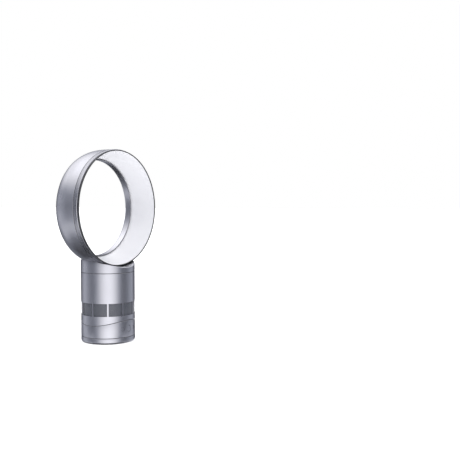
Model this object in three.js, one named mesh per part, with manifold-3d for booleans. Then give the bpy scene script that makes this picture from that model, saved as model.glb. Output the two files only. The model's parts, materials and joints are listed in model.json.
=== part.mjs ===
// Bladeless desk fan: a round base that draws air in through a grille band and
// a large ring that lets the air out through a thin slot round its rear edge.
//
// Millimetres. +Z is up, the air leaves towards -Y, and the origin is the
// centre of the bottom of the base. Run with the npm packages three and
// manifold-3d; the default export is the group that holds the whole fan.

import * as THREE from 'three';
import { mergeVertices } from 'three/addons/utils/BufferGeometryUtils.js';
import Module from 'manifold-3d';

const wasm = await Module();
wasm.setup();

// ---------------------------------------------------------------- dimensions

const BASE_R = 69;            // outer radius of the round base
const WALL = 2.5;             // wall of the casings
const FOOT_TOP = 15.4;        // top of the fixed foot
const LOWER_Z = 16.2;         // underside of the part that sweeps from side to side
const TILT_Z = 245;           // height of the tilt axis, which lies along X
const SEAM_LOW = 198.6;       // radius of the concave seat about the tilt axis
const SEAM_HIGH = 197.8;      // radius of the convex underside that slides in it
const CASE_TOP = 179.6;       // top of the motor casing
const NECK_Z = 180.4;         // underside of the ring's neck
const BAND_Z = [71.6, 104.1]; // grille band, bottom and top
const SLEEVE_SEAT = 67.9;     // inner radius of the casing where the perforated sleeve sits
const BARS = 11;              // bars of the grille band
const BAR_W = 3.9;            // width of one bar
const BAR_PHASE = -540 / 11;  // degrees from the front to the first bar

const RING_Z = 344.5;         // height of the ring's axis
const RING_R = 150;           // outer radius of the ring
const RING_BACK = 48;         // rear of the ring
const TAPER_Y = -4;           // where the ring's wall starts to curve in towards the rear
const APEX_R = 130;           // radius of the rearmost point
const TRIM_FRONT = -41;       // front of the ring
const TRIM_BACK = -25.2;      // rear edge of the front trim
const SHELL_FRONT = -24;      // front edge of the ring's outer shell
const THROAT_R = 124;         // narrowest radius of the ring's opening
const RING_SEGS = 40;
const CASE_SEGS = 40;

const CONTROL_Z = 37;         // height of the controls on the front
const DIAL_R = 8;
const BUTTON_R = 4.6;
const BUTTON_X = 20;

const GEAR_MODULE = 1;
const GEAR_TEETH = 48;        // full count of the fixed sector gear
const PINION_TEETH = 16;
const PINION_Y = 32.25;

// ---------------------------------------------------------------- materials

const mat = (color, roughness, metalness = 0) =>
  new THREE.MeshStandardMaterial({ color, roughness, metalness });

const SILVER = mat(0xb7b8c0, 0.34, 0.75);
const SILVER_DARK = mat(0x8f9098, 0.34, 0.75);
const MESH_GREY = mat(0x5d5e64, 0.45, 0.6);
const BLACK = mat(0x1c1c1e, 0.6);
const GREY = mat(0x4a4b50, 0.55);
const WHITE = mat(0xe6e6ea, 0.4);
const RUBBER = mat(0x141414, 0.9);
const STEEL = mat(0xb0b2b5, 0.3, 1);
const BRASS = mat(0xb88a45, 0.35, 1);
const COPPER = mat(0xb4643c, 0.4, 1);
const BOARD = mat(0x1d5a35, 0.5);
const FOAM = mat(0x2c2c30, 1);
const NYLON = mat(0xd8d6cc, 0.5);

// ------------------------------------------------------------------ helpers

// A closed, outward-facing solid from any three.js geometry.
function solid(geometry, matrix) {
  let g = geometry.clone();
  if (matrix) g.applyMatrix4(matrix);
  g.deleteAttribute('normal');
  g.deleteAttribute('uv');
  if (!g.index) g.setIndex([...Array(g.attributes.position.count).keys()]);
  g = mergeVertices(g, 1e-4);
  const p = g.attributes.position.array;
  const keep = [];
  let volume = 0;
  for (let i = 0; i < g.index.count; i += 3) {
    const a = g.index.getX(i), b = g.index.getX(i + 1), c = g.index.getX(i + 2);
    if (a === b || b === c || a === c) continue;
    keep.push(a, b, c);
    const [ax, ay, az] = [p[3 * a], p[3 * a + 1], p[3 * a + 2]];
    const [bx, by, bz] = [p[3 * b], p[3 * b + 1], p[3 * b + 2]];
    const [cx, cy, cz] = [p[3 * c], p[3 * c + 1], p[3 * c + 2]];
    volume += ax * (by * cz - bz * cy) + ay * (bz * cx - bx * cz) + az * (bx * cy - by * cx);
  }
  if (volume < 0) {
    for (let i = 0; i < keep.length; i += 3) {
      [keep[i + 1], keep[i + 2]] = [keep[i + 2], keep[i + 1]];
    }
  }
  return new wasm.Manifold(new wasm.Mesh({
    numProp: 3,
    vertProperties: new Float32Array(p),
    triVerts: new Uint32Array(keep),
  }));
}

function geometryOf(manifold) {
  const m = manifold.getMesh();
  const g = new THREE.BufferGeometry();
  g.setAttribute('position', new THREE.BufferAttribute(new Float32Array(m.vertProperties), 3));
  g.setIndex(new THREE.BufferAttribute(new Uint32Array(m.triVerts), 1));
  return g;
}

const move = (x, y, z) => new THREE.Matrix4().makeTranslation(x, y, z);
const turnZ = (deg) => new THREE.Matrix4().makeRotationZ(THREE.MathUtils.degToRad(deg));

// Turned shape about the Z axis from [radius, height] pairs.
function turned(profile, segs) {
  const pts = profile.map(([r, h]) => new THREE.Vector2(r, h));
  const g = new THREE.LatheGeometry(pts, segs);
  g.rotateX(Math.PI / 2);
  return solid(g);
}
const closed = (profile) => [...profile, profile[0]];

// Turned shape about the ring's own axis, from [radius, y] pairs.
function ringTurned(profile, segs = RING_SEGS) {
  const pts = profile.map(([r, y]) => new THREE.Vector2(r, y));
  const g = new THREE.LatheGeometry(pts, segs);
  return solid(g, move(0, 0, RING_Z));
}

const box = (x0, x1, y0, y1, z0, z1) =>
  solid(new THREE.BoxGeometry(x1 - x0, y1 - y0, z1 - z0),
    move((x0 + x1) / 2, (y0 + y1) / 2, (z0 + z1) / 2));

// Upright cylinder, and cylinders along X and Y.
const post = (x, y, r, z0, z1, segs = 24) => {
  const g = new THREE.CylinderGeometry(r, r, z1 - z0, segs);
  g.rotateX(Math.PI / 2);
  return solid(g, move(x, y, (z0 + z1) / 2));
};
const barY = (x, z, r, y0, y1, segs = 32) =>
  solid(new THREE.CylinderGeometry(r, r, y1 - y0, segs), move(x, (y0 + y1) / 2, z));
const tiltDrum = (r) => {
  const g = new THREE.CylinderGeometry(r, r, 200, 144);
  g.rotateZ(Math.PI / 2);
  return solid(g, move(0, 0, TILT_Z));
};
const ringDrum = (r, y0, y1, segs = 96) =>
  solid(new THREE.CylinderGeometry(r, r, y1 - y0, segs), move(0, (y0 + y1) / 2, RING_Z));

// Points of an arc: centre (cx, cy), radius, from angle a0 to a1 in degrees.
function arc(cx, cy, r, a0, a1, n) {
  const out = [];
  for (let i = 0; i <= n; i++) {
    const a = THREE.MathUtils.degToRad(a0 + (a1 - a0) * i / n);
    out.push([cx + r * Math.cos(a), cy + r * Math.sin(a)]);
  }
  return out;
}

function plate(points, z0, z1, hole) {
  const shape = new THREE.Shape(points.map(([x, y]) => new THREE.Vector2(x, y)));
  if (hole) {
    const h = new THREE.Path();
    h.setFromPoints(hole.map(([x, y]) => new THREE.Vector2(x, y)));
    shape.holes.push(h);
  }
  const g = new THREE.ExtrudeGeometry(shape, { depth: z1 - z0, bevelEnabled: false, steps: 1 });
  return solid(g, move(0, 0, z0));
}

function piece(name, shape, material, position, rotation) {
  const mesh = new THREE.Mesh(shape.isBufferGeometry ? shape : geometryOf(shape), material);
  mesh.name = name;
  if (position) mesh.position.set(...position);
  if (rotation) mesh.rotation.set(...rotation);
  return mesh;
}

// Involute teeth: points of one tooth, about the gear's centre, tooth on angle mid.
function tooth(teeth, mid, backlash) {
  const rp = GEAR_MODULE * teeth / 2;
  const pressure = THREE.MathUtils.degToRad(20);
  const rb = rp * Math.cos(pressure);
  const inv = (a) => Math.tan(a) - a;
  const root = rp - 1.25 * GEAR_MODULE;
  const tip = rp + 0.9 * GEAR_MODULE;
  const half = Math.PI / (2 * teeth) - backlash / (2 * rp);
  const radii = [root, Math.max(rb, root) + 0.02, rp, tip];
  const side = radii.map((r) => {
    const a = r > rb ? Math.acos(rb / r) : 0;
    return [r, half + inv(pressure) - inv(a)];
  });
  const at = ([r, a]) => [r * Math.cos(mid + a), r * Math.sin(mid + a)];
  return [
    ...side.map(([r, a]) => at([r, -a])),
    ...side.slice().reverse().map(([r, a]) => at([r, a])),
  ];
}

// -------------------------------------------------------------------- foot

const foot = new THREE.Group();

// Silver ring of the foot, with its rounded bottom edge and the rear hole for
// the cord's gland.
const footRing = turned(closed([
  [66.3, FOOT_TOP], [66.3, 5.2], [62.4, 5.2], [62.4, 0.9],
  ...arc(63.4, 6.5, 5.6, 270, 360, 2), [BASE_R, FOOT_TOP],
]), CASE_SEGS).subtract(barY(0, 9.2, 5.4, 55, 75, 16));
foot.add(piece('foot_ring', footRing, SILVER));

// Plate inside it, with the hollow post that everything turns on and the
// track for the thrust ring.
const screwAngles = [30, 150, 270];
const gearScrew = (deg) => [14.3 * Math.cos(deg * Math.PI / 180), 14.3 * Math.sin(deg * Math.PI / 180)];
let footPlate = turned([
  [0, 0.9], [54.7, 0.9], [54.7, 2.3], [61.2, 2.3], [61.2, 0.9], [62.1, 0.9], [62.1, 4.2],
  [54, 4.2], [54, 13.9], [50, 13.9], [50, 3.6], [17.5, 3.6], [17.5, 20.3], [11, 20.3],
  [11, 3.6], [0, 3.6],
], 30);
for (const a of screwAngles) footPlate = footPlate.subtract(post(...gearScrew(a), 2, 10, 25, 8));
footPlate = footPlate.subtract(box(-3, 3, 45, 59, 4.6, 10.2));
foot.add(piece('foot_plate', footPlate, BLACK));

foot.add(piece('rubber_foot_ring', turned(closed([[55.1, 0], [60.9, 0], [60.9, 2], [55.1, 2]]), 30), RUBBER));
foot.add(piece('thrust_ring', turned(closed([[50.3, 14.2], [53.7, 14.2], [53.7, 15.9], [50.3, 15.9]]), 30), NYLON));

let washer = turned(closed([[11.2, 20.6], [24.4, 20.6], [24.4, 22], [11.2, 22]]), 30);
for (const a of screwAngles) washer = washer.subtract(post(...gearScrew(a), 2, 10, 25, 8));
foot.add(piece('retaining_washer', washer, STEEL));

// Fixed sector gear: the sweep motor's pinion walks round it.
const sector = [];
const pitchStep = 2 * Math.PI / GEAR_TEETH;
for (let k = -8; k < 8; k++) {
  sector.push(...tooth(GEAR_TEETH, Math.PI / 2 + (k + 0.5) * pitchStep, 0.32));
}
const hubFrom = 90 + 8.2 * 7.5, hubTo = 90 - 8.2 * 7.5 + 360;
sector.push(...arc(0, 0, 18, hubFrom, hubTo, 16));
let sectorGear = plate(sector, 22.3, 26.5, arc(0, 0, 11.2, 0, 340, 17));
for (const a of screwAngles) sectorGear = sectorGear.subtract(post(...gearScrew(a), 2, 10, 30, 8));
foot.add(piece('fixed_sector_gear', sectorGear, NYLON));

const screwShape = (shank, head, length) => {
  const pts = [[0, -length], [shank * 0.6, -length], [shank, -length + 1], [shank, 0], [head, 0],
    [head, 0.9], [head * 0.75, 1.6], [0, 1.6]].map(([r, h]) => new THREE.Vector2(r, h));
  const g = new THREE.LatheGeometry(pts, 8);
  g.rotateX(Math.PI / 2);
  return geometryOf(solid(g).subtract(box(-head, head, -0.35, 0.35, 0.9, 3)));
};
screwAngles.forEach((a, i) => {
  foot.add(piece(`gear_screw_${i + 1}`, screwShape(1.5, 2.7, 14.5), STEEL, [...gearScrew(a), 26.8]));
});

// Gland that the mains cord comes through, at the rear.
foot.add(piece('cord_gland', turned(closed([
  [3.4, 0], [5, 0], [5, 5], [3.4, 5],
]), 16), RUBBER, [0, 68.3, 9.2], [Math.PI / 2, 0, 0]));

// -------------------------------------------- lower base, sweeps about Z

const lower = new THREE.Group();

const dialY = -(BASE_R - 0.5);
let lowerCasing = turned(closed([
  [21, LOWER_Z], [BASE_R, LOWER_Z], [BASE_R, 76], [BASE_R - WALL, 76],
  [BASE_R - WALL, LOWER_Z + WALL], [21, LOWER_Z + WALL],
]), CASE_SEGS).subtract(tiltDrum(SEAM_LOW));
lowerCasing = lowerCasing
  .subtract(barY(0, CONTROL_Z, DIAL_R + 0.4, -75, -60, 28))
  .subtract(barY(-BUTTON_X, CONTROL_Z, BUTTON_R + 0.4, -75, -55, 20))
  .subtract(barY(BUTTON_X, CONTROL_Z, BUTTON_R + 0.4, -75, -55, 20));
const legs = [[46, 38], [-46, 38], [-46, -38], [46, -38]];
for (const [x, y] of legs) lowerCasing = lowerCasing.subtract(post(x, y, 2, 10, 20, 8));
lower.add(piece('lower_casing', lowerCasing, SILVER));

// Concave cradle with two slots, on four legs.
let cradle = turned([[0, 30], [66.2, 30], [66.2, 80], [0, 80]], CASE_SEGS)
  .intersect(tiltDrum(SEAM_LOW + 3.2)).subtract(tiltDrum(SEAM_LOW));
for (const s of [-1, 1]) {
  cradle = cradle.subtract(box(s * 29 - 4.2, s * 29 + 4.2, -49.5, 49.5, 30, 70));
}
for (const [x, y] of legs) {
  cradle = cradle.add(post(x, y, 4.2, 19, 49, 10));
}
for (const [x, y] of legs) cradle = cradle.subtract(post(x, y, 2, 15, 32, 8));
lower.add(piece('tilt_cradle', cradle, GREY));
legs.forEach(([x, y], i) => {
  lower.add(piece(`cradle_screw_${i + 1}`, screwShape(1.5, 3.2, 14), STEEL, [x, y, 16], [Math.PI, 0, 0]));
});

lower.add(piece('pivot_bush', turned(closed([
  [18, 16.5], [20.7, 16.5], [20.7, 19], [24, 19], [24, 20], [18, 20],
]), 32), NYLON));

// Sweep motor on its bracket, above the pinion.
let motorBracket = box(-22, 22, 24, 41, 27.6, 29.2)
  .add(box(-22, -17, 33, 41, 19, 28)).add(box(17, 22, 33, 41, 19, 28))
  .subtract(post(0, PINION_Y, 3.4, 20, 35, 20));
lower.add(piece('sweep_motor_bracket', motorBracket, STEEL));
lower.add(piece('sweep_motor', turned(closed([
  [2.6, 29.5], [12, 29.5], [12, 39.2], [11, 40], [2.6, 40],
]), 20), STEEL, [0, PINION_Y, 0]));

// Boards, switches and the dial's encoder.
const controlBoard = box(-33, 33, -44, -26, 21.6, 23.2)
  .add(box(-28, -18, -40, -30, 23, 30)).add(box(-12, 8, -38, -28, 23, 26))
  .add(box(14, 24, -42, -32, 23, 33)).add(box(-30, -26, -43, -39, 19, 22)).add(box(26, 30, -43, -39, 19, 22))
  .add(box(-30, -26, -29, -25, 19, 22)).add(box(26, 30, -29, -25, 19, 22));
lower.add(piece('control_board', controlBoard, BOARD));
lower.add(piece('switch_board', box(-31, 31, -53.6, -52, 26, 48), BOARD));
lower.add(piece('control_bracket', box(-33, 33, -51.7, -50, 19, 49).add(box(-33, 33, -50.2, -45, 19, 20.8)), BLACK));
lower.add(piece('dial_encoder', box(-6.5, 6.5, -57.9, -53.9, 30.5, 43.5), GREY));
lower.add(piece('power_switch', box(-BUTTON_X - 3, -BUTTON_X + 3, -55.9, -53.9, 34, 40), BLACK));
lower.add(piece('sweep_switch', box(BUTTON_X - 3, BUTTON_X + 3, -55.9, -53.9, 34, 40), BLACK));

// Controls on the front.
const casingCore = turned([[0, 20], [BASE_R - 0.35, 20], [BASE_R - 0.35, 60], [0, 60]], 96);
const button = (x) => barY(x, CONTROL_Z, BUTTON_R, -70, -59.2, 20)
  .intersect(casingCore)
  .add(barY(x, CONTROL_Z, 6, -59.3, -58.2, 20))
  .add(barY(x, CONTROL_Z, 2, -58.4, -57.5, 10));
lower.add(piece('power_button', button(-BUTTON_X), SILVER));
lower.add(piece('sweep_button', button(BUTTON_X), SILVER));
const dial = barY(0, CONTROL_Z, DIAL_R, dialY, -62.5, 28)
  .add(barY(0, CONTROL_Z, 3, -62.7, -58.2, 12))
  .subtract(solid(new THREE.SphereGeometry(4, 12, 8), move(0, dialY - 3.5, CONTROL_Z + 4.2)));
lower.add(piece('speed_dial', dial, SILVER));

// Pinion of the sweep motor.
const pinionPoints = [];
for (let k = 0; k < PINION_TEETH; k++) {
  pinionPoints.push(...tooth(PINION_TEETH, -Math.PI / 2 + k * 2 * Math.PI / PINION_TEETH, 0.32));
}
const pinion = plate(pinionPoints, 22.3, 26.5).add(post(0, 0, 4, 19.2, 22.6, 20)).add(post(0, 0, 2, 26, 38, 16));
lower.add(piece('sweep_pinion', pinion, BRASS, [0, PINION_Y, 0]));

// ------------------------------------------------- head, tilts about X

const head = new THREE.Group();
const casing = new THREE.Group();
const blower = new THREE.Group();
const ring = new THREE.Group();
head.add(casing, blower, ring);

let motorCasing = turned(closed([
  [BASE_R - WALL, 40], [BASE_R, 40], [BASE_R, CASE_TOP], [62.2, CASE_TOP], [62.2, 178],
  [58.6, 178], [58.6, CASE_TOP], [58, CASE_TOP], [58, 176.9], [BASE_R - WALL, 176.9],
  [BASE_R - WALL, 110], [SLEEVE_SEAT, 108.4], [SLEEVE_SEAT, 67.3], [BASE_R - WALL, 65.7],
]), CASE_SEGS).intersect(tiltDrum(SEAM_HIGH));
const windowHalf = BASE_R * Math.sin((180 / BARS) * Math.PI / 180 - BAR_W / 2 / BASE_R);
for (let k = 0; k < BARS; k++) {
  const cut = solid(new THREE.BoxGeometry(2 * windowHalf, 20, BAND_Z[1] - BAND_Z[0]),
    turnZ(BAR_PHASE + (k + 0.5) * 360 / BARS)
      .multiply(move(0, -BASE_R, (BAND_Z[0] + BAND_Z[1]) / 2)));
  motorCasing = motorCasing.subtract(cut);
}
casing.add(piece('motor_casing', motorCasing, SILVER));

// Perforated sleeve behind the bars.
let sleeve = turned(closed([[66.6, 67.9], [67.5, 67.9], [67.5, 107.8], [66.6, 107.8]]), CASE_SEGS);
for (let k = 0; k < BARS; k++) {
  for (const i of [-0.5, 0.5]) {
    const z = (BAND_Z[0] + BAND_Z[1]) / 2;
    sleeve = sleeve.subtract(solid(new THREE.BoxGeometry(8, 8, 24),
      turnZ(BAR_PHASE + (k + 0.5) * 360 / BARS + i * 12).multiply(move(0, -67, z))));
  }
}
casing.add(piece('inlet_mesh', sleeve, MESH_GREY));

const underside = turned([[0, 30], [66.2, 30], [66.2, 80], [0, 80]], CASE_SEGS)
  .intersect(tiltDrum(SEAM_HIGH - 0.1)).subtract(tiltDrum(SEAM_HIGH - 3.1));
casing.add(piece('casing_underside', underside, GREY));
for (const [name, s] of [['tilt_runner_left', -1], ['tilt_runner_right', 1]]) {
  const x = s * 29;
  const stem = tiltDrum(203).subtract(tiltDrum(198))
    .intersect(box(x - 3.2, x + 3.2, -12, 12, 30, 60));
  const flange = tiltDrum(205).subtract(tiltDrum(202.3))
    .intersect(box(x - 7.5, x + 7.5, -12, 12, 30, 60));
  casing.add(piece(name, stem.add(flange), NYLON));
}

// Electronics under the inlet.
const driverBoard = box(-34, 34, -24, 24, 60, 61.6)
  .add(box(-28, -14, -18, -4, 61.4, 67)).add(post(6, -8, 6, 61.4, 67.5, 16)).add(post(22, -8, 6, 61.4, 67.5, 16))
  .add(box(-10, 24, 6, 18, 61.4, 65))
  .add(post(-30, 20, 2.4, 61.4, 68.9, 12)).add(post(30, 20, 2.4, 61.4, 68.9, 12))
  .add(post(-30, -20, 2.4, 61.4, 68.9, 12)).add(post(30, -20, 2.4, 61.4, 68.9, 12));
casing.add(piece('driver_board', driverBoard, BOARD));
casing.add(piece('electronics_cover', turned([
  [0, 69.2], [62.4, 69.2], [62.4, 62.8], [64.8, 62.8], [64.8, 71.2], [0, 71.2],
], 36), BLACK));
casing.add(piece('foam_silencer', turned([
  [0, 71.5], [46, 71.5], [46, 77], [38, 82], [0, 84],
], 28), FOAM));

// Inlet, impeller housing and motor bucket.
blower.add(piece('inlet_bellmouth', turned(closed([
  [64.8, 105.4], [64.8, 107.6], [44, 107.6], [36, 110.8], [33.2, 116.2],
  [31, 116.2], [34, 108.8], [43, 105.4],
]), 30), GREY));
blower.add(piece('impeller_housing', turned(closed([
  [34.5, 116.6], [44, 131], [52, 141], [60.5, 155], [60.5, 174],
  [66.2, 174], [66.2, 171.6], [62.6, 171.6], [62.6, 154.4], [54, 140],
  [46, 130], [36.9, 116.6],
]), 30), WHITE));
blower.add(piece('isolation_ring', turned(closed([
  [62.9, 167.8], [66.2, 167.8], [66.2, 171.3], [62.9, 171.3],
]), 30), RUBBER));
blower.add(piece('motor_bucket_lower', turned(closed([
  [11.2, 145.6], [42, 145.6], [42, 160], [39.6, 160], [39.6, 148], [16, 148],
  [16, 151.2], [11.2, 151.2],
]), 24), WHITE));
blower.add(piece('motor_bucket_upper', turned(closed([
  [11.2, 165.6], [16, 165.6], [16, 171.4], [37, 171.4], [39.6, 168], [39.6, 160.4], [42, 160.4],
  [42, 169], [38, 174], [11.2, 174],
]), 24), WHITE));

let diffuser = turned(closed([[42.6, 159.5], [44.2, 159.5], [44.2, 169.5], [42.6, 169.5]]), 24)
  .add(turned(closed([[58.4, 159.5], [60, 159.5], [60, 169.5], [58.4, 169.5]]), 24));
for (let k = 0; k < 9; k++) {
  const fin = new THREE.BoxGeometry(15.2, 1.4, 9);
  fin.rotateX(THREE.MathUtils.degToRad(24));
  diffuser = diffuser.add(solid(fin, turnZ(k * 40).multiply(move(51.3, 0, 164.5))));
}
blower.add(piece('diffuser', diffuser, WHITE));

// Stator: nine teeth on a ring.
const statorInner = [];
for (let k = 0; k < 9; k++) {
  const mid = k * 40;
  statorInner.push(...arc(0, 0, 17, mid - 11, mid + 11, 2), ...arc(0, 0, 27, mid + 14, mid + 26, 1));
}
blower.add(piece('motor_stator', plate(arc(0, 0, 33, 0, 348, 29), 152, 164.6, statorInner), COPPER));
const bearing = geometryOf(turned(closed([[3.3, 0], [10.8, 0], [10.8, 5], [3.3, 5]]), 20));
blower.add(piece('bearing_lower', bearing, STEEL, [0, 0, 146]));
blower.add(piece('bearing_upper', bearing.clone(), STEEL, [0, 0, 166]));

// Rotor: shaft, magnet and mixed-flow impeller.
const rotor = new THREE.Group();
blower.add(rotor);
rotor.add(piece('motor_shaft', turned([[0, 110.5], [3, 110.5], [3, 171.4], [0, 171.4]], 16), STEEL));
rotor.add(piece('rotor_magnet', turned(closed([[3.3, 152.6], [16, 152.6], [16, 164], [3.3, 164]]), 20), GREY));
let impeller = turned(closed([
  [3.3, 112.5], [10, 112.5], [15, 118], [21.5, 126], [32, 135.6], [42, 141.6],
  [42, 143.8], [3.3, 143.8],
]), 21);
const bladeOutline = [
  [12.6, 116.8], [33.2, 117.6], [38, 124.4], [42.4, 131.2], [50.2, 141],
  [41, 142.6], [30, 136.6], [20, 127.6],
];
const bladeShape = new THREE.Shape(bladeOutline.map(([r, z]) => new THREE.Vector2(r, z)));
for (let k = 0; k < 7; k++) {
  const g = new THREE.ExtrudeGeometry(bladeShape, { depth: 1.4, bevelEnabled: false, steps: 1 });
  g.translate(0, 0, -0.7);
  const p = g.attributes.position;
  for (let i = 0; i < p.count; i++) {
    const r = p.getX(i), z = p.getY(i), t = p.getZ(i);
    const a = (k * 360 / 7 + 1.7 * (z - 115)) * Math.PI / 180 + t / Math.max(r, 10);
    p.setXYZ(i, r * Math.cos(a), r * Math.sin(a), z);
  }
  impeller = impeller.add(solid(g));
}
rotor.add(piece('impeller', impeller, GREY));

// ------------------------------------------------------- ring and neck

// Outer shell: the wall, the rounded rear and the lip that curls back in.
const taper = (inset, u) => [
  APEX_R + (RING_R - APEX_R - inset) * Math.cos(u * Math.PI / 180),
  TAPER_Y + (RING_BACK - TAPER_Y - inset) * Math.sin(u * Math.PI / 180),
];
const shellProfile = closed([
  [RING_R, SHELL_FRONT], ...[0, 18, 34, 50, 65, 79, 90].map((u) => taper(0, u)),
  [127.2, 47.1], [124.8, 44.6], [THROAT_R, 41],
  [THROAT_R + 0.3, 27], [126, 27], [126, 41], [126.6, 43.6], [128.6, 45.5],
  ...[90, 72, 54, 34, 16, 0].map((u) => taper(2.1, u)), [RING_R - 2.2, SHELL_FRONT],
]);
const ringShell = ringTurned(shellProfile);

// Neck: a tube as wide as the base whose top follows the ring.
let neck = turned([[0, NECK_Z], [BASE_R, NECK_Z], [BASE_R, 215], [0, 215]], CASE_SEGS)
  .subtract(ringTurned([[0, SHELL_FRONT], [RING_R - 0.8, SHELL_FRONT],
    ...[0, 18, 34, 50].map((u) => taper(0.8, u)), [taper(0.8, 50)[0], 80], [0, 80]]))
  .subtract(ringDrum(RING_R + 0.5, -80, SHELL_FRONT));
const neckHollow = turned([[0, 170], [66.3, 170], [66.3, 214], [0, 214]], CASE_SEGS)
  .subtract(ringDrum(RING_R + 2.6, -90, 90));
neck = neck.subtract(neckHollow);
const airway = box(-52, 52, -22, 34, 178, 215);
const nozzleShell = ringShell.add(neck).subtract(airway);
ring.add(piece('ring_outer_shell', nozzleShell, SILVER));

// Inner shell: the surface that the air clings to.
ring.add(piece('ring_inner_shell', ringTurned(closed([
  [131.4, 43.4], [128.4, 41.6], [127.4, 35], [127.7, 27], [129.4, 17],
  [145.6, -38.6], [147, -38.6], [147.4, -30], [131.8, 17], [130.2, 27], [130, 35], [132.6, 41.2],
])), WHITE));

// Front trim that joins the two shells.
ring.add(piece('ring_front_trim', ringTurned(closed([
  [RING_R, TRIM_BACK], [RING_R, -37.8], [149.57, -39.4], [148.4, -40.57], [146.8, TRIM_FRONT],
  [146.2, TRIM_FRONT], [145.8, -39.2], [147.4, -38.9], [147.8, -31], [147.8, TRIM_BACK],
])), SILVER_DARK));

// Seal between the casing and the neck, and the collar that locks them.
ring.add(piece('neck_seal', turned(closed([[58.9, 178.3], [61.9, 178.3], [61.9, 180.1], [58.9, 180.1]]), 36), RUBBER));
let collar = turned(closed([
  [53, 174.4], [57.5, 174.4], [57.5, 181], [66, 181], [66, 183.4], [53, 183.4],
]), 30);
for (let k = 0; k < 3; k++) {
  const lug = turned(closed([[57, 174.4], [61.4, 174.4], [61.4, 176.5], [57, 176.5]]), 30)
    .intersect(solid(new THREE.BoxGeometry(40, 26, 10), turnZ(k * 120 + 30).multiply(move(60, 0, 175))));
  collar = collar.add(lug);
}
ring.add(piece('neck_lock_collar', collar, GREY));

// ----------------------------------------------------------------- assembly

const fan = new THREE.Group();
fan.add(foot, lower, head);
fan.updateMatrixWorld(true);

export default fan;
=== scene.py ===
import json
import math

import bmesh
import bpy
import numpy as np
from mathutils import Matrix, Vector


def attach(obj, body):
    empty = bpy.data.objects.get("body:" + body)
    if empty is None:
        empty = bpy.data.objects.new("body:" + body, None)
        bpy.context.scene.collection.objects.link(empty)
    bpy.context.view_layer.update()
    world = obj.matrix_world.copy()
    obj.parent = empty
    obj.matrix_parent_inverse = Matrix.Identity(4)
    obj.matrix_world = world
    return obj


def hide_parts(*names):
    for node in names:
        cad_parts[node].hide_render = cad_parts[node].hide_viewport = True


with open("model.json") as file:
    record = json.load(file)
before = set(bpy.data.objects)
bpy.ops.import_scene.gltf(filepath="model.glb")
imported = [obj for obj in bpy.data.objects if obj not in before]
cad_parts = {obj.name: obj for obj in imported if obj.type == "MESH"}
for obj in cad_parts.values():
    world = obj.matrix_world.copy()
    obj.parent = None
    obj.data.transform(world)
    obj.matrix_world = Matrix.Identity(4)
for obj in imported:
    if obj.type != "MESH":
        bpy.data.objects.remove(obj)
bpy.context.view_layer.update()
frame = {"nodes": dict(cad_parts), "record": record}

NODES = frame["nodes"]
MM = 0.001

# ------------------------------------------------------------------ sizes, mm

BASE_R = 69.0
WALL = 2.5
FOOT_TOP = 15.4
LOWER_Z = 16.2
TILT_Z = 245.0
SEAM_LOW = 198.6
SEAM_HIGH = 197.8
CASE_TOP = 179.6
NECK_Z = 180.4
BAND = (71.6, 104.1)
BARS = 11
BAR_W = 3.9
BAR_PHASE = -540.0 / 11
RING_Z = 344.5
RING_R = 150.0
RING_BACK = 48.0
TAPER_Y = -4.0
APEX_R = 130.0
TRIM_FRONT = -41.0
TRIM_BACK = -25.2
TRIM_EDGE = -36.6
TRIM_FILLET = 2.1
SHELL_FRONT = -24.0
CONTROL_Z = 37.0
BUTTON_X = 20.0
BUTTON_R = 4.6
DIAL_R = 8.0
DIAL_Y = -(BASE_R - 0.5)

# ------------------------------------------------------------------- camera

CAM_AZ = math.radians(48.34)
CAM_D = 1.841
CAM_H = 0.3645
CAM_HEAD = math.radians(9.927)
CAM_PITCH = math.radians(2.444)


def make_camera():
    data = bpy.data.cameras.new("camera")
    data.sensor_width = 36.0
    data.lens = 700.0 / 460.0 * 36.0
    data.clip_start, data.clip_end = 0.05, 60.0
    cam = bpy.data.objects.new("camera", data)
    bpy.context.scene.collection.objects.link(cam)
    a = CAM_AZ
    ahead = Vector((math.sin(a), math.cos(a), 0))
    right = Vector((math.cos(a), -math.sin(a), 0))
    c, s = math.cos(CAM_HEAD), math.sin(CAM_HEAD)
    ahead, right = ahead * c + right * s, right * c - ahead * s
    c, s = math.cos(CAM_PITCH), math.sin(CAM_PITCH)
    fwd = ahead * c - Vector((0, 0, 1)) * s
    up = Vector((0, 0, 1)) * c + ahead * s
    m = Matrix((right, up, -fwd)).transposed().to_4x4()
    m.translation = Vector((-CAM_D * math.sin(a), -CAM_D * math.cos(a), CAM_H))
    cam.matrix_world = m
    bpy.context.scene.camera = cam
    return cam


make_camera()

# ------------------------------------------------------------ mesh utilities


def rounded(points, radii, closed=True, steps=4):
    """The polyline with each corner rounded to its radius."""
    n = len(points)
    out = []
    for i in range(n):
        p = np.array(points[i], float)
        r = radii[i] if hasattr(radii, "__len__") else radii
        if r <= 0 or (not closed and i in (0, n - 1)):
            out.append(tuple(p))
            continue
        a, b = np.array(points[i - 1], float), np.array(points[(i + 1) % n], float)
        u, v = a - p, b - p
        lu, lv = np.linalg.norm(u), np.linalg.norm(v)
        u, v = u / lu, v / lv
        cosang = float(np.clip(u @ v, -1, 1))
        half = math.acos(cosang) / 2
        if half > math.radians(86):
            out.append(tuple(p))
            continue
        t = min(r / math.tan(half), 0.48 * lu, 0.48 * lv)
        rr = t * math.tan(half)
        centre = p + (u + v) / np.linalg.norm(u + v) * (rr / math.sin(half))
        s0, s1 = p + u * t - centre, p + v * t - centre
        a0, a1 = math.atan2(s0[1], s0[0]), math.atan2(s1[1], s1[0])
        d = (a1 - a0 + math.pi) % (2 * math.pi) - math.pi
        for k in range(steps + 1):
            ang = a0 + d * k / steps
            out.append((centre[0] + rr * math.cos(ang), centre[1] + rr * math.sin(ang)))
    return out


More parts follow.
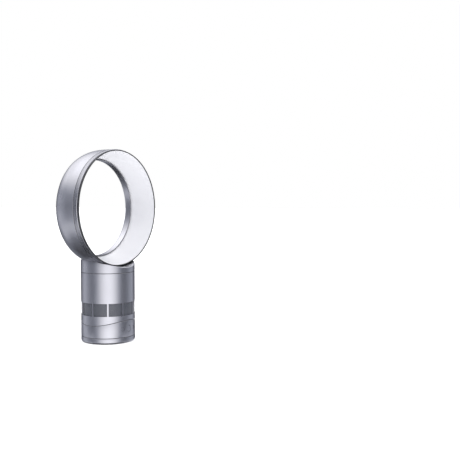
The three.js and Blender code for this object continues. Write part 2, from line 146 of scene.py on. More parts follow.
def arc(cx, cy, r, a0, a1, n):
    return [(cx + r * math.cos(math.radians(a0 + (a1 - a0) * i / n)),
             cy + r * math.sin(math.radians(a0 + (a1 - a0) * i / n))) for i in range(n + 1)]


def make_object(name, verts, faces, mats=(), mat_index=None, sharp=32.0):
    me = bpy.data.meshes.new(name)
    me.from_pydata([tuple(v) for v in verts], [], faces)
    bm = bmesh.new()
    bm.from_mesh(me)
    bmesh.ops.remove_doubles(bm, verts=bm.verts, dist=2e-7)
    bmesh.ops.recalc_face_normals(bm, faces=bm.faces)
    bm.to_mesh(me)
    bm.free()
    for m in mats:
        me.materials.append(m)
    finish_shading(me, sharp)
    ob = bpy.data.objects.new(name, me)
    bpy.context.scene.collection.objects.link(ob)
    return ob


def finish_shading(me, sharp=32.0):
    me.polygons.foreach_set("use_smooth", [True] * len(me.polygons))
    me.set_sharp_from_angle(angle=math.radians(sharp))
    me.update()


def spin(name, profile, n=192, axis="Z", centre=(0, 0, 0), mats=(), sharp=32.0, slots=None, start=0.0):
    """A closed profile of (radius, height), or one from axis to axis, turned about an axis.
    profile may be a function of the angle from the front (-Y), in radians."""
    fixed = None if callable(profile) else profile
    verts, rows = [], []
    for i in range(n):
        t = start + 2 * math.pi * i / n
        prof = fixed or profile(t)
        row = []
        for r, h in prof:
            if axis == "Z":
                v = (r * math.sin(t), -r * math.cos(t), h)
            else:
                v = (r * math.cos(t), h, r * math.sin(t))
            row.append(len(verts))
            verts.append(tuple((v[k] + centre[k]) * MM for k in range(3)))
        rows.append(row)
    m = len(rows[0])
    prof = fixed or profile(start)
    on_axis = prof[0][0] < 1e-9 and prof[-1][0] < 1e-9
    last = m - 1 if on_axis else m
    faces, index = [], []
    for i in range(n):
        a, b = rows[i], rows[(i + 1) % n]
        for j in range(last):
            k = (j + 1) % m
            q = [a[j], b[j], b[k], a[k]]
            faces.append(q)
            index.append(slots[j] if slots else 0)
    me = bpy.data.meshes.new(name)
    me.from_pydata(verts, [], faces)
    for mt in mats:
        me.materials.append(mt)
    if slots:
        me.polygons.foreach_set("material_index", index)
    bm = bmesh.new()
    bm.from_mesh(me)
    bmesh.ops.remove_doubles(bm, verts=bm.verts, dist=2e-7)
    bmesh.ops.dissolve_degenerate(bm, edges=bm.edges, dist=1e-8)
    bmesh.ops.recalc_face_normals(bm, faces=bm.faces)
    bm.to_mesh(me)
    bm.free()
    finish_shading(me, sharp)
    ob = bpy.data.objects.new(name, me)
    bpy.context.scene.collection.objects.link(ob)
    return ob


def boolean(ob, cutters, operation="DIFFERENCE", sharp=32.0):
    for c in cutters:
        mod = ob.modifiers.new("cut", "BOOLEAN")
        mod.operation, mod.solver, mod.object = operation, "EXACT", c
    bpy.context.view_layer.update()
    deps = bpy.context.evaluated_depsgraph_get()
    me = bpy.data.meshes.new_from_object(ob.evaluated_get(deps))
    ob.modifiers.clear()
    old = ob.data
    ob.data = me
    me.name = ob.name
    bpy.data.meshes.remove(old)
    bm = bmesh.new()
    bm.from_mesh(me)
    bmesh.ops.remove_doubles(bm, verts=bm.verts, dist=1e-7)
    bmesh.ops.dissolve_degenerate(bm, edges=bm.edges, dist=1e-8)
    bm.to_mesh(me)
    bm.free()
    finish_shading(me, sharp)
    for c in cutters:
        data = c.data
        bpy.data.objects.remove(c)
        bpy.data.meshes.remove(data)
    return ob


def rod(name, a, b, r, n=48):
    """A plain cylinder between two points in mm, for cutting."""
    a, b = Vector(a), Vector(b)
    w = (b - a).normalized()
    u = w.orthogonal().normalized()
    v = w.cross(u)
    verts, faces = [], []
    for end in (a, b):
        for i in range(n):
            t = 2 * math.pi * i / n
            verts.append(tuple((end + u * (r * math.cos(t)) + v * (r * math.sin(t))) * MM))
    faces = [[i, (i + 1) % n, n + (i + 1) % n, n + i] for i in range(n)]
    faces += [list(range(n))[::-1], list(range(n, 2 * n))]
    return make_object(name, verts, faces)


def smooth_normals(ob):
    mod = ob.modifiers.new("weighted", "WEIGHTED_NORMAL")
    mod.keep_sharp = True
    mod.weight = 50


# ---------------------------------------------------------------- materials


def new_material(name):
    m = bpy.data.materials.new(name)
    m.use_nodes = True
    nt = m.node_tree
    bsdf = nt.nodes["Principled BSDF"]
    return m, nt, bsdf


def coords(nt, scale=(1, 1, 1)):
    tc = nt.nodes.new("ShaderNodeTexCoord")
    mp = nt.nodes.new("ShaderNodeMapping")
    mp.inputs["Scale"].default_value = scale
    nt.links.new(tc.outputs["Object"], mp.inputs["Vector"])
    return mp.outputs["Vector"]


def noise(nt, vec, scale, detail=3.0, rough=0.55):
    n = nt.nodes.new("ShaderNodeTexNoise")
    n.inputs["Scale"].default_value = scale
    n.inputs["Detail"].default_value = detail
    n.inputs["Roughness"].default_value = rough
    nt.links.new(vec, n.inputs["Vector"])
    return n.outputs["Fac"]


def ramp(nt, fac, stops):
    r = nt.nodes.new("ShaderNodeValToRGB")
    els = r.color_ramp.elements
    els.remove(els[1])
    for i, (p, c) in enumerate(stops):
        e = els[0] if i == 0 else els.new(p)
        e.position = p
        e.color = (*c, 1.0) if len(c) == 3 else c
    nt.links.new(fac, r.inputs["Fac"])
    return r.outputs["Color"]


def spread(nt, fac, lo, hi):
    m = nt.nodes.new("ShaderNodeMapRange")
    m.inputs["From Min"].default_value = 0.3
    m.inputs["From Max"].default_value = 0.7
    m.inputs["To Min"].default_value = lo
    m.inputs["To Max"].default_value = hi
    nt.links.new(fac, m.inputs["Value"])
    return m.outputs["Result"]


def bump(nt, height, bsdf, strength, distance):
    b = nt.nodes.new("ShaderNodeBump")
    b.inputs["Strength"].default_value = strength
    b.inputs["Distance"].default_value = distance
    nt.links.new(height, b.inputs["Height"])
    nt.links.new(b.outputs["Normal"], bsdf.inputs["Normal"])


def satin(name, base, rough=0.3, metallic=0.9, vary=0.03, grain=(1, 1, 1), coat=0.0, painted_corner_shade=0.0, sheen=0.0):
    """Satin metallic lacquer: fine flake in the colour, slight cloudiness in the gloss, and painted shade that darkens
    the colour in inner angles and hollows.
    """
    m, nt, b = new_material(name)
    v = coords(nt, grain)
    flake = noise(nt, v, 1900.0, 2.0, 0.6)
    cloud = noise(nt, coords(nt), 14.0, 3.0, 0.5)
    lo = tuple(max(0.0, c - vary) for c in base)
    hi = tuple(min(1.0, c + vary) for c in base)
    colour = ramp(nt, flake, [(0.3, lo), (0.7, hi)])
    # painted shade: an ambient-occlusion node darkens the base colour in inner angles and under the ring
    if painted_corner_shade:
        ao = nt.nodes.new("ShaderNodeAmbientOcclusion")
        ao.samples = 8
        ao.inputs["Distance"].default_value = painted_corner_shade
        shade = nt.nodes.new("ShaderNodeMapRange")
        shade.inputs["From Min"].default_value = 0.45
        shade.inputs["From Max"].default_value = 0.95
        shade.inputs["To Min"].default_value = 0.12
        shade.inputs["To Max"].default_value = 1.0
        nt.links.new(ao.outputs["AO"], shade.inputs["Value"])
        mix = nt.nodes.new("ShaderNodeVectorMath")
        mix.operation = "SCALE"
        nt.links.new(colour, mix.inputs[0])
        nt.links.new(shade.outputs["Result"], mix.inputs["Scale"])
        colour = mix.outputs["Vector"]
    nt.links.new(colour, b.inputs["Base Color"])
    nt.links.new(spread(nt, cloud, rough - 0.02, rough + 0.025), b.inputs["Roughness"])
    b.inputs["Metallic"].default_value = metallic
    b.inputs["Coat Weight"].default_value = coat
    b.inputs["Coat Roughness"].default_value = 0.12
    b.inputs["Sheen Weight"].default_value = sheen
    b.inputs["Sheen Roughness"].default_value = 0.3
    bump(nt, flake, b, 0.02, 0.00003)
    return m


def moulded(name, base, rough=0.5, vary=0.02, scale=900.0, strength=0.12, metallic=0.0):
    """Moulded plastic or rubber with a fine spark-eroded texture."""
    m, nt, b = new_material(name)
    v = coords(nt)
    tex = noise(nt, v, scale, 4.0, 0.6)
    cloud = noise(nt, v, 22.0, 3.0, 0.5)
    lo = tuple(max(0.0, c - vary) for c in base)
    hi = tuple(min(1.0, c + vary) for c in base)
    nt.links.new(ramp(nt, cloud, [(0.3, lo), (0.7, hi)]), b.inputs["Base Color"])
    nt.links.new(spread(nt, tex, rough - 0.05, rough + 0.06), b.inputs["Roughness"])
    b.inputs["Metallic"].default_value = metallic
    bump(nt, tex, b, strength, 0.00006)
    return m


# the silver's colour carries painted shade in inner angles, within 16 mm
SILVER = satin("satin_silver", (0.62, 0.62, 0.668), 0.29, 0.97, painted_corner_shade=0.016)
TRIM = satin("satin_silver_trim", (0.45, 0.45, 0.488), 0.24, 0.96)
PALE = satin("pale_satin_inner", (0.74, 0.74, 0.765), 0.36, 0.10, 0.02)
MESH = satin("grille_sheet", (0.118, 0.125, 0.149), 0.42, 0.35, 0.02, coat=0.8, sheen=1.0)
# painted shade: black for the dark gap at the front of the rim
RIM_PAINTED_SHADE = moulded("rim_painted_shade", (0.03, 0.03, 0.034), 0.4)
# painted shade: black for the shade in the groove behind the front band
GROOVE_SHADE = moulded("groove_painted_shade", (0.035, 0.035, 0.04), 0.6)
BLACK = moulded("black_plastic", (0.028, 0.028, 0.031), 0.55, 0.006)
GREY = moulded("grey_plastic", (0.16, 0.16, 0.175), 0.5)
WHITE = moulded("white_plastic", (0.78, 0.78, 0.77), 0.42)
RUBBER = moulded("rubber", (0.022, 0.022, 0.023), 0.78, 0.005, 600.0, 0.25)
NYLON = moulded("nylon", (0.74, 0.71, 0.63), 0.45, 0.03)
STEEL = satin("plain_steel", (0.56, 0.56, 0.57), 0.34, 1.0, 0.04, (1, 1, 14))
BRASS = satin("brass", (0.72, 0.50, 0.22), 0.3, 1.0, 0.04)
COPPER = satin("copper_windings", (0.66, 0.30, 0.16), 0.35, 1.0, 0.06, (1, 1, 5))


def board_material():
    m, nt, b = new_material("circuit_board")
    v = coords(nt)
    br = nt.nodes.new("ShaderNodeTexBrick")
    br.inputs["Scale"].default_value = 260.0
    br.inputs["Color1"].default_value = (0.02, 0.15, 0.07, 1)
    br.inputs["Color2"].default_value = (0.03, 0.19, 0.09, 1)
    br.inputs["Mortar"].default_value = (0.06, 0.28, 0.13, 1)
    br.inputs["Mortar Size"].default_value = 0.06
    nt.links.new(v, br.inputs["Vector"])
    nt.links.new(br.outputs["Color"], b.inputs["Base Color"])
    b.inputs["Roughness"].default_value = 0.35
    bump(nt, br.outputs["Fac"], b, 0.2, 0.00005)
    return m


def foam_material():
    m, nt, b = new_material("open_cell_foam")
    v = coords(nt)
    vo = nt.nodes.new("ShaderNodeTexVoronoi")
    vo.inputs["Scale"].default_value = 700.0
    nt.links.new(v, vo.inputs["Vector"])
    nt.links.new(ramp(nt, vo.outputs["Distance"], [(0.0, (0.02, 0.02, 0.022)), (0.6, (0.09, 0.09, 0.1))]),
                 b.inputs["Base Color"])
    b.inputs["Roughness"].default_value = 0.95
    bump(nt, vo.outputs["Distance"], b, 0.8, 0.0006)
    return m




def gauze_material():
    m, nt, b = new_material("fine_gauze")
    v = coords(nt)
    waves = []
    for way in ("Z", "DIAGONAL"):
        w = nt.nodes.new("ShaderNodeTexWave")
        w.bands_direction = way
        w.inputs["Scale"].default_value = 420.0
        nt.links.new(v, w.inputs["Vector"])
        waves.append(w.outputs["Fac"])
    mul = nt.nodes.new("ShaderNodeMath")
    mul.operation = "MULTIPLY"
    nt.links.new(waves[0], mul.inputs[0])
    nt.links.new(waves[1], mul.inputs[1])
    nt.links.new(ramp(nt, mul.outputs[0], [(0.1, (0.03, 0.03, 0.033)), (0.8, (0.075, 0.075, 0.082))]),
                 b.inputs["Base Color"])
    b.inputs["Roughness"].default_value = 0.7
    bump(nt, mul.outputs[0], b, 0.3, 0.0001)
    return m


BOARD = board_material()
GAUZE = gauze_material()
FOAM = foam_material()

# ------------------------------------------------------------ foot and base


def silver_foot():
    prof = [(66.3, FOOT_TOP), (66.3, 5.2), (62.4, 5.2), (62.4, 0.9), (63.4, 0.9)]
    prof += arc(63.4, 6.5, 5.6, 272, 358, 14)
    prof += rounded([(BASE_R, 6.5), (BASE_R, FOOT_TOP), (66.3, FOOT_TOP)], [0, 0.7, 0], closed=False)[:-1]
    ob = spin("foot_shell", prof, 256, mats=[SILVER])
    ob = boolean(ob, [rod("cut", (0, 55, 9.2), (0, 75, 9.2), 5.35, 40)])
    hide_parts("foot_ring")
    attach(ob, "foot")
    return ob


def seam_z(r, t, radius):
    y = -r * math.cos(t)
    return TILT_Z - math.sqrt(radius * radius - y * y)


def lower_shell():
    def prof(t):
        top = lambda r: seam_z(r, t, SEAM_LOW)
        ro, ri = BASE_R, BASE_R - WALL
        pts = [(21, LOWER_Z), (ro, LOWER_Z), (ro, top(ro)), (ri, top(ri)), (ri, LOWER_Z + WALL), (21, LOWER_Z + WALL)]
        return rounded(pts, [0.3, 0.7, 0.7, 0.3, 0.5, 0.3])
    ob = spin("lower_base_shell", prof, 256, mats=[SILVER])
    ob = boolean(ob, [
        rod("cut_a", (0, -75, CONTROL_Z), (0, -60, CONTROL_Z), DIAL_R + 0.35, 72),
        rod("cut_b", (-BUTTON_X, -75, CONTROL_Z), (-BUTTON_X, -55, CONTROL_Z), BUTTON_R + 0.3, 56),
        rod("cut_c", (BUTTON_X, -75, CONTROL_Z), (BUTTON_X, -55, CONTROL_Z), BUTTON_R + 0.3, 56),
    ])
    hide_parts("lower_casing")
    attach(ob, "lower_base")
    return ob


def casing_shell():
    def prof(t):
        low = lambda r: seam_z(r, t, SEAM_HIGH)
        ro, ri = BASE_R, BASE_R - WALL
        rb = 67.9
        pts = [(ri, low(ri)), (ro, low(ro)), (ro, CASE_TOP), (58, CASE_TOP), (58, 176.9), (ri, 176.9),
               (ri, 110.0), (rb, 108.4), (rb, 67.3), (ri, 65.7)]
        return rounded(pts, [0.3, 0.7, 0.7, 0.3, 0.3, 0.5, 0.3, 0.3, 0.3, 0.3])
    ob = spin("motor_casing_shell", prof, 240, mats=[SILVER])
    half = BASE_R * math.sin(math.pi / BARS - BAR_W / 2 / BASE_R)
    cutters = []
    for k in range(BARS):
        a = math.radians(BAR_PHASE + (k + 0.5) * 360 / BARS)
        u = Vector((math.cos(a), math.sin(a), 0))
        w = Vector((math.sin(a), -math.cos(a), 0))
        outline = rounded([(-half, BAND[0]), (half, BAND[0]), (half, BAND[1]), (-half, BAND[1])], 1.2, steps=5)
        n = len(outline)
        verts = []
        for d in (60.0, 76.0):
            for x, z in outline:
                p = u * x + w * d
                verts.append((p.x * MM, p.y * MM, z * MM))
        faces = [[i, (i + 1) % n, n + (i + 1) % n, n + i] for i in range(n)]
        faces += [list(range(n))[::-1], list(range(n, 2 * n))]
        cutters.append(make_object("window_%d" % k, verts, faces))
    ob = boolean(ob, cutters)
    smooth_normals(ob)
    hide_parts("motor_casing")
    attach(ob, "head")
    return ob


def perforated_sleeve():
    """Sheet with staggered round holes, rolled into a sleeve, and the fine gauze that lines it."""
    r_in, r_out = 66.9, 67.5
    cols, rows, pitch_z = 160, 13, 2.5
    z_mid = (BAND[0] + BAND[1]) / 2
    z_lo = z_mid - rows * pitch_z / 2
    pitch = 2 * math.pi / cols
    hole = 0.85
    verts, faces = [], []

    def add(r, t, z):
        verts.append((r * math.sin(t) * MM, -r * math.cos(t) * MM, z * MM))
        return len(verts) - 1

    ring8 = [(-1, -1), (0, -1), (1, -1), (1, 0), (1, 1), (0, 1), (-1, 1), (-1, 0)]
    for j in range(rows):
        z = z_lo + (j + 0.5) * pitch_z
        for i in range(cols):
            t = (i + 0.5 * (j % 2)) * pitch
            outer, inner, ho, hi = [], [], [], []
            for dx, dz in ring8:
                outer.append(add(r_out, t + dx * pitch / 2, z + dz * pitch_z / 2))
                inner.append(add(r_in, t + dx * pitch / 2, z + dz * pitch_z / 2))
                a = math.atan2(dz, dx)
                ho.append(add(r_out, t + hole * math.cos(a) / r_out, z + hole * math.sin(a)))
                hi.append(add(r_in, t + hole * math.cos(a) / r_out, z + hole * math.sin(a)))
            for k in range(8):
                m = (k + 1) % 8
                faces.append([outer[k], outer[m], ho[m], ho[k]])
                faces.append([inner[m], inner[k], hi[k], hi[m]])
                faces.append([ho[k], ho[m], hi[m], hi[k]])
    n = cols * 2
    for z0, z1 in ((68.2, z_lo), (z_lo + rows * pitch_z, 107.6)):
        for i in range(n):
            t0, t1 = i * pitch / 2, (i + 1) * pitch / 2
            a, b = add(r_out, t0, z0), add(r_out, t1, z0)
            c, d = add(r_out, t1, z1), add(r_out, t0, z1)
            e, f = add(r_in, t0, z0), add(r_in, t1, z0)
            g, h = add(r_in, t1, z1), add(r_in, t0, z1)
            faces += [[a, b, c, d], [f, e, h, g]]
            if z0 < 70:
                faces.append([b, a, e, f])
            else:
                faces.append([d, c, g, h])
    gauze = spin("inlet_gauze", [(66.62, 68.3), (66.8, 68.3), (66.8, 107.5), (66.62, 107.5)], 200, mats=[GAUZE])
    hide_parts("inlet_mesh")
    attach(gauze, "head")
    ob = make_object("inlet_perforated_sheet", verts, faces, [MESH], sharp=40)
    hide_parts("inlet_mesh")
    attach(ob, "head")
    return ob


def buttons():
    out = []
    for name, node, body, x in (("power_button_cap", "power_button", "power_button", -BUTTON_X),
                                ("sweep_button_cap", "sweep_button", "sweep_button", BUTTON_X)):
        # the face follows the round casing
        rows, n, rings = [], 96, [0, 0.25, 0.5, 0.7, 0.84, 0.93, 0.975, 1.0]
        verts, faces = [], []
        R = BASE_R - 0.3

        def face_y(px):
            return -math.sqrt(R * R - px * px)
        for f in rings:
            row = []
            for i in range(n):
                t = 2 * math.pi * i / n
                px, pz = x + BUTTON_R * f * math.cos(t), BUTTON_R * f * math.sin(t)
                edge = max(0.0, f - 0.88) / 0.12
                row.append(len(verts))
                drop = 0.45 * (1 - math.sqrt(max(0.0, 1 - edge * edge)))
                verts.append((px * MM, (face_y(px) + drop) * MM, (CONTROL_Z + pz) * MM))
            rows.append(row)
        for r, y in ((BUTTON_R, -59.2), (6.0, -59.2), (6.0, -58.2), (2.0, -58.2), (2.0, -57.5), (0.0, -57.5)):
            row = []
            for i in range(n):
                t = 2 * math.pi * i / n
                row.append(len(verts))
                verts.append(((x + r * math.cos(t)) * MM, y * MM, (CONTROL_Z + r * math.sin(t)) * MM))
            rows.append(row)
        for a, b in zip(rows, rows[1:]):
            faces += [[a[i], a[(i + 1) % n], b[(i + 1) % n], b[i]] for i in range(n)]
        ob = make_object(name, verts, faces, [SILVER], sharp=40)
        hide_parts(node)
        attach(ob, body)
        out.append(ob)
    return out


def dial():
    y = DIAL_Y
    prof = [(0, y)]
    prof += rounded([(0, y), (DIAL_R, y), (DIAL_R, -62.5)], [0, 0.5, 0], closed=False, steps=8)[1:]
    prof += [(3.0, -62.5), (3.0, -58.2), (0, -58.2)]
    ob = spin("speed_dial_cap", prof, 120, axis="Y", centre=(0, 0, CONTROL_Z), mats=[SILVER], sharp=40)
    # shallow finger dimple
    cut = bpy.data.meshes.new("dimple")
    bm = bmesh.new()
    bmesh.ops.create_uvsphere(bm, u_segments=48, v_segments=32, radius=6 * MM,
                              matrix=Matrix.Translation(Vector((0, (y - 5.75), CONTROL_Z + 4.3)) * MM))
    bm.to_mesh(cut)
    bm.free()
    c = bpy.data.objects.new("dimple", cut)
    bpy.context.scene.collection.objects.link(c)
    ob = boolean(ob, [c], sharp=40)
    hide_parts("speed_dial")
    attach(ob, "speed_dial")
    return ob


def rubber_ring():
    prof = rounded([(55.1, 0.0), (60.9, 0.0), (60.9, 2.0), (55.1, 2.0)], [0.5, 0.5, 0.2, 0.2])
    ob = spin("rubber_foot", prof, 160, mats=[RUBBER])
    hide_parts("rubber_foot_ring")
    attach(ob, "foot")
    return ob


def gland():
    prof = rounded([(3.4, 68.3), (5.0, 68.3), (5.0, 63.3), (3.4, 63.3)], [0.7, 0.3, 0.2, 0.2])
    ob = spin("cord_gland_bush", prof, 64, axis="Y", centre=(0, 0, 9.2), mats=[RUBBER])
    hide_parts("cord_gland")
    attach(ob, "foot")
    return ob


# --------------------------------------------------------------------- ring


def ring_shell():
    def taper(inset, u):
        u = math.radians(u)
        return (APEX_R + (RING_R - APEX_R - inset) * math.cos(u), TAPER_Y + (RING_BACK - TAPER_Y - inset) * math.sin(u))
    pts = [(RING_R, SHELL_FRONT)] + [taper(0, u) for u in range(0, 91, 5)]
    pts += [(130 + 6.0 * math.cos(math.radians(u)), 41 + 7.0 * math.sin(math.radians(u))) for u in range(100, 181, 10)]
    pts += [(124.3, 27.0), (125.9, 27.0)]
    pts += [(130 + 4.2 * math.cos(math.radians(u)), 41 + 5.0 * math.sin(math.radians(u))) for u in range(180, 90, -15)]
    pts += [taper(2.0, u) for u in range(90, -1, -10)] + [(RING_R - 2.0, SHELL_FRONT)]
    radii = [0.0] * len(pts)
    radii[0] = 0.75
    radii[-1] = 0.2
    prof = rounded(pts, radii)
    ring = spin("ring_shell", prof, 288, axis="Y", centre=(0, 0, RING_Z), mats=[SILVER], sharp=30)

    def top(r, t, radius):
        x = r * math.sin(t)
        return RING_Z - math.sqrt(radius * radius - x * x)

    def saddle(x, y, inset=0.9):
        # underside of the ring at this place, a little inside its wall
        if y < SHELL_FRONT:
            radius = RING_R + 0.5
        elif y < TAPER_Y:
            radius = RING_R - inset
        else:
            u = min(50.0, math.degrees(math.asin(min(1.0, (y - TAPER_Y) / (RING_BACK - TAPER_Y - inset)))))
            radius = APEX_R + (RING_R - APEX_R - inset) * math.cos(math.radians(u))
        return RING_Z - math.sqrt(radius * radius - x * x)

    def neck_prof(t):
        out = []
        ri, ro = 66.3, BASE_R
        for r in (0, 12, 24, 36, 44, 52, 58, 63, ri):
            out.append((r, top(r, t, 152.6)))
        out += [(ri, NECK_Z), (ro - 0.7, NECK_Z), (ro - 0.35, NECK_Z + 0.1), (ro - 0.1, NECK_Z + 0.35), (ro, NECK_Z + 0.7)]
        y = -ro * math.cos(t)
        inside = min(1.0, max(0.0, (46 - y) / 10)) * min(1.0, max(0.0, (y + 34) / 10))
        rho = 0.3 + 1.2 * (1 - inside)
        for k in range(7):
            a = math.radians(90 * k / 6)
            r = ro - rho + rho * math.cos(a)
            out.append((r, saddle(r * math.sin(t), -r * math.cos(t)) - rho + rho * math.sin(a)))
        for r in (65, 62, 59, 56, 53, 50, 47, 44.5, 42, 39, 36, 33, 30, 27, 24, 20, 16, 12, 8, 4, 0):
            out.append((r, saddle(r * math.sin(t), -r * math.cos(t))))
        return out
    neck = spin("ring_neck", neck_prof, 256, mats=[SILVER], sharp=30)
    ring = boolean(ring, [neck], "UNION", sharp=30)
    smooth_normals(ring)
    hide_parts("ring_outer_shell")
    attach(ring, "head")
    return ring


def ring_inner():
    pts = [(131.4, 43.4), (129.4, 42.6), (128.3, 41.2), (127.6, 39.0), (127.3, 36.0), (127.25, 32.0), (127.5, 27.5),
           (128.2, 22.5), (129.4, 17.0), (137.4, -10.5), (145.7, -38.6), (146.9, -38.6), (147.1, -30.0), (139.6, -9.6), (131.8, 17.2), (130.4, 24.0), (130.0, 31.0), (130.2, 36.5), (131.0, 39.6), (132.6, 41.4)]
    ob = spin("ring_inner_wall", pts, 288, axis="Y", centre=(0, 0, RING_Z), mats=[PALE], sharp=30)
    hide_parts("ring_inner_shell")
    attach(ob, "head")
    return ob


def ring_trim():
    """The band, whose front edge is rounded, and the black ring in front of it, which is painted shade for the dark gap
    at the front of the rim.
    """
    c = RING_R - TRIM_FILLET
    prof = rounded([(147.8, TRIM_BACK), (RING_R, TRIM_BACK), (RING_R, TRIM_EDGE + TRIM_FILLET)], [0, 0.6, 0], closed=False)
    prof += [(c + TRIM_FILLET * math.cos(math.radians(q)), TRIM_EDGE + TRIM_FILLET * (1 - math.sin(math.radians(q))))
             for q in range(9, 91, 9)]
    prof += [(147.8, TRIM_EDGE + 0.05)]
    ob = spin("ring_front_band", prof, 320, axis="Y", centre=(0, 0, RING_Z), mats=[TRIM], sharp=30)
    # painted shade: a black ring on the front face, where the rim shows a dark gap
    edge = rounded([(147.05, -36.75), (147.75, -36.75), (147.95, -37.4), (147.95, TRIM_FRONT), (145.75, TRIM_FRONT),
                    (145.75, -38.8), (147.05, -38.8)], [0.1, 0.1, 0.1, 0.7, 0.5, 0.1, 0.1])
    line = spin("ring_front_shade_ring", edge, 288, axis="Y", centre=(0, 0, RING_Z), mats=[RIM_PAINTED_SHADE], sharp=30)
    # the piece labelled rubber here is the black ring of painted shade at the front of the rim
    for piece, slot in ((ob, "silver_trim"), (line, "rubber")):
        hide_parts("ring_front_trim")
        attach(piece, "head")
    return ob


def groove_shade_ring():
    """Black ring filling the groove between the shell and the front band: painted shade for the groove."""
    prof = rounded([(147.9, -25.1), (148.8, -25.1), (148.8, -24.1), (148.1, -24.1)], 0.2)
    ob = spin("ring_groove_shade", prof, 288,
              axis="Y", centre=(0, 0, RING_Z), mats=[GROOVE_SHADE], sharp=30)
    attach(ob, "head")
    return ob


silver_foot()
lower_shell()
casing_shell()
perforated_sleeve()
buttons()
dial()
rubber_ring()
gland()
ring_shell()
ring_inner()
ring_trim()
groove_shade_ring()

# ------------------------------------------------- the CAD nodes that stay

BY_SLOT = {
    "silver_shell": SILVER, "silver_trim": TRIM, "pale_inner": PALE, "grille_mesh": MESH,
    "black_plastic": BLACK, "grey_plastic": GREY, "white_plastic": WHITE, "rubber": RUBBER,
    "nylon": NYLON, "steel": STEEL, "brass": BRASS, "stator_iron": COPPER,
    "circuit_board": BOARD, "foam": FOAM,
}
for sub in frame["record"]["subparts"]:
    ob = NODES[sub["node"]]
    ob.data.materials.clear()
    ob.data.materials.append(BY_SLOT[sub["material_slot"]])

# -------------------------------------------------------------------- stage


def white_floor():
    m, nt, b = new_material("stage_floor")
    v = coords(nt)
    nt.links.new(ramp(nt, noise(nt, v, 3.0), [(0.3, (0.93, 0.93, 0.935)), (0.7, (0.95, 0.95, 0.952))]),
                 b.inputs["Base Color"])
    b.inputs["Roughness"].default_value = 0.9
    b.inputs["Specular IOR Level"].default_value = 0.0
    b.inputs["Emission Color"].default_value = (1.0, 1.0, 1.0, 1.0)
    b.inputs["Emission Strength"].default_value = 0.42
    size = 24.0
    me = bpy.data.meshes.new("stage_floor")
    me.from_pydata([(-size, -size, 0), (size, -size, 0), (size, size, 0), (-size, size, 0)], [], [[0, 1, 2, 3]])
    me.materials.append(m)
    ob = bpy.data.objects.new("stage_floor", me)
    bpy.context.scene.collection.objects.link(ob)
    ob.visible_glossy = False
    ob.visible_shadow = False
    return ob


white_floor()


def panel(name, rel_az, elev, dist, width, height, radiance, colour=(1, 1, 1), roll=0.0, aim=(0, 0, 0.28)):
    """A soft panel round the fan; rel_az is degrees from the camera's side, positive to the camera's right."""
    az = math.radians(-48.34 + rel_az)
    el = math.radians(elev)
    d = Vector((math.sin(az) * math.cos(el), -math.cos(az) * math.cos(el), math.sin(el)))
    data = bpy.data.lights.new(name, "AREA")
    data.shape = "RECTANGLE"
    data.size, data.size_y = width, height
    data.energy = radiance * math.pi * width * height
    data.color = colour
    ob = bpy.data.objects.new(name, data)
    bpy.context.scene.collection.objects.link(ob)
    ob.location = Vector(aim) + d * dist
    ob.rotation_mode = "QUATERNION"
    ob.rotation_quaternion = (-d).to_track_quat("-Z", "Y")
    ob.visible_camera = False
    return ob


# The reflections come from the studio surround; these panels light the matt surfaces and the ground.
for args in (("soft_left", -50, 34, 3.0, 2.4, 2.4, 0.30), ("soft_right", 55, 42, 3.0, 2.4, 2.4, 0.25),
             ("soft_top", 10, 84, 3.0, 3.4, 3.4, 0.9)):
    panel(*args).visible_glossy = False

# relative azimuth (0 towards the camera, positive to its right) -> brightness at eye level
ROUND = [(-180, 0), (-155, 0), (-137, .33), (-120, .605), (-106, .53), (-88, .275), (-72, .185), (-60, .21),
         (-50, .345), (-40, .67), (-30, 1.0), (-20, 1.25), (-8, 1.46), (3, 1.55), (14, 1.47), (26, 1.2), (36, .87),
         (46, .48), (56, .205), (68, .125), (80, .135), (95, .265), (110, .425), (124, .51), (137, .25), (150, 0), (180, 0)]
# elevation -> brightness above and below the eye-level band
ABOVE = [(8, .12), (14, .20), (23, .42), (33, .85), (41, 1.2), (49, 1.85), (62, 1.5), (76, .95), (90, .7)]
BELOW = [(-90, 0), (-62, .02), (-50, .07), (-42, .10), (-36, .33), (-29, .72), (-21, .66), (-13, .32), (-6, .2)]
# a brighter patch, and a darker one below it, behind and to the left
PATCH = [(12, 0), (19, .27), (25, .48), (29, .62), (33, .45), (37, .14), (40, 0)]

world = bpy.data.worlds.new("studio")
bpy.context.scene.world = world
world.use_nodes = True
wn = world.node_tree
bg = wn.nodes["Background"]


def wmath(op, a, b=None, c=None, clamp=False):
    n = wn.nodes.new("ShaderNodeMath")
    n.operation, n.use_clamp = op, clamp
    for i, v in enumerate((a, b, c)):
        if v is None:
            continue
        if isinstance(v, (int, float)):
            n.inputs[i].default_value = v
        else:
            wn.links.new(v, n.inputs[i])
    return n.outputs[0]


def wdot(vec, k):
    n = wn.nodes.new("ShaderNodeVectorMath")
    n.operation = "DOT_PRODUCT"
    wn.links.new(vec, n.inputs[0])
    n.inputs[1].default_value = k
    return n.outputs["Value"]


def wcurve(fac, stops, lo, hi, top=2.0):
    r = wn.nodes.new("ShaderNodeValToRGB")
    r.color_ramp.interpolation = "EASE"
    els = r.color_ramp.elements
    els.remove(els[1])
    for i, (p, v) in enumerate(stops):
        place = (p - lo) / (hi - lo)
        e = els[0] if i == 0 else els.new(place)
        e.position = place
        e.color = (v / top,) * 3 + (1.0,)
    m = wn.nodes.new("ShaderNodeMapRange")
    m.inputs["From Min"].default_value = lo
    m.inputs["From Max"].default_value = hi
    wn.links.new(fac, m.inputs["Value"])
    wn.links.new(m.outputs["Result"], r.inputs["Fac"])
    return wmath("MULTIPLY", r.outputs["Color"], top)


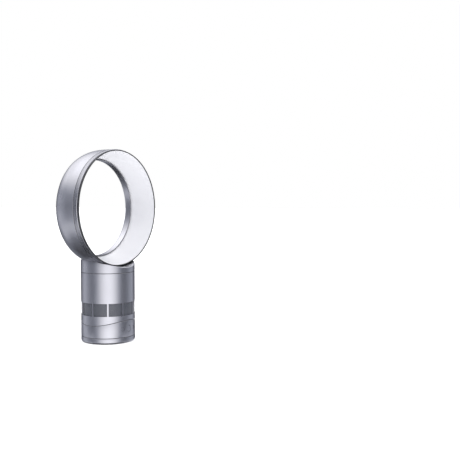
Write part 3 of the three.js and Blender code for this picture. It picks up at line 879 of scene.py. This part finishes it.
def wstep(fac, lo, hi):
    m = wn.nodes.new("ShaderNodeMapRange")
    m.interpolation_type = "SMOOTHSTEP"
    m.inputs["From Min"].default_value = lo
    m.inputs["From Max"].default_value = hi
    wn.links.new(fac, m.inputs["Value"])
    return m.outputs["Result"]


gen = wn.nodes.new("ShaderNodeTexCoord").outputs["Generated"]
a0 = CAM_AZ
towards, across = (-math.sin(a0), -math.cos(a0), 0), (math.cos(a0), -math.sin(a0), 0)
az = wmath("MULTIPLY", wmath("ARCTAN2", wdot(gen, across), wdot(gen, towards)), 180 / math.pi)
el = wmath("MULTIPLY", wmath("ARCSINE", wdot(gen, (0, 0, 1))), 180 / math.pi)
dip = wmath("MULTIPLY", wstep(el, -5, 0), wstep(el, 9, 3))
level = wmath("MULTIPLY", wcurve(az, ROUND, -180, 180), wmath("SUBTRACT", 1.0, wmath("MULTIPLY", dip, 0.3)))
patch = wmath("MULTIPLY", wcurve(el, PATCH, 12, 40),
              wmath("MULTIPLY", wstep(az, -104, -124), wstep(az, -170, -158)))
up = wmath("ADD", wcurve(el, ABOVE, 8, 90), patch)
shade = wmath("MULTIPLY", wstep(az, -124, -132), wstep(az, -180, -172))
down = wmath("MULTIPLY", wcurve(el, BELOW, -90, -6), wmath("SUBTRACT", 1.0, wmath("MULTIPLY", shade, 0.67)))
w_up = wstep(el, 6, 22)
front = wstep(wmath("ABSOLUTE", az), 75, 50)
w_down = wmath("MULTIPLY", wstep(el, -12, -22), wmath("SUBTRACT", 1.0, wmath("MULTIPLY", front, wstep(el, -52, -34))))
both = wmath("ADD", wmath("MULTIPLY", level, wmath("SUBTRACT", 1.0, wmath("ADD", w_up, w_down))),
             wmath("ADD", wmath("MULTIPLY", up, w_up), wmath("MULTIPLY", down, w_down)))
wn.links.new(both, bg.inputs["Strength"])
tint = wn.nodes.new("ShaderNodeMix")
tint.data_type = "RGBA"
tint.inputs[6].default_value = (0.85, 0.905, 1.07, 1)
tint.inputs[7].default_value = (0.985, 0.985, 1.0, 1)
wn.links.new(wstep(both, 0.1, 1.0), tint.inputs[0])
wn.links.new(tint.outputs[2], bg.inputs["Color"])
white = wn.nodes.new("ShaderNodeBackground")
white.inputs["Color"].default_value = (1, 1, 1, 1)
white.inputs["Strength"].default_value = 1.0
lp = wn.nodes.new("ShaderNodeLightPath")
mix = wn.nodes.new("ShaderNodeMixShader")
wn.links.new(lp.outputs["Is Camera Ray"], mix.inputs["Fac"])
wn.links.new(bg.outputs["Background"], mix.inputs[1])
wn.links.new(white.outputs["Background"], mix.inputs[2])
wn.links.new(mix.outputs["Shader"], wn.nodes["World Output"].inputs["Surface"])

bpy.context.scene.view_settings.view_transform = "Standard"
bpy.context.scene.view_settings.look = "None"
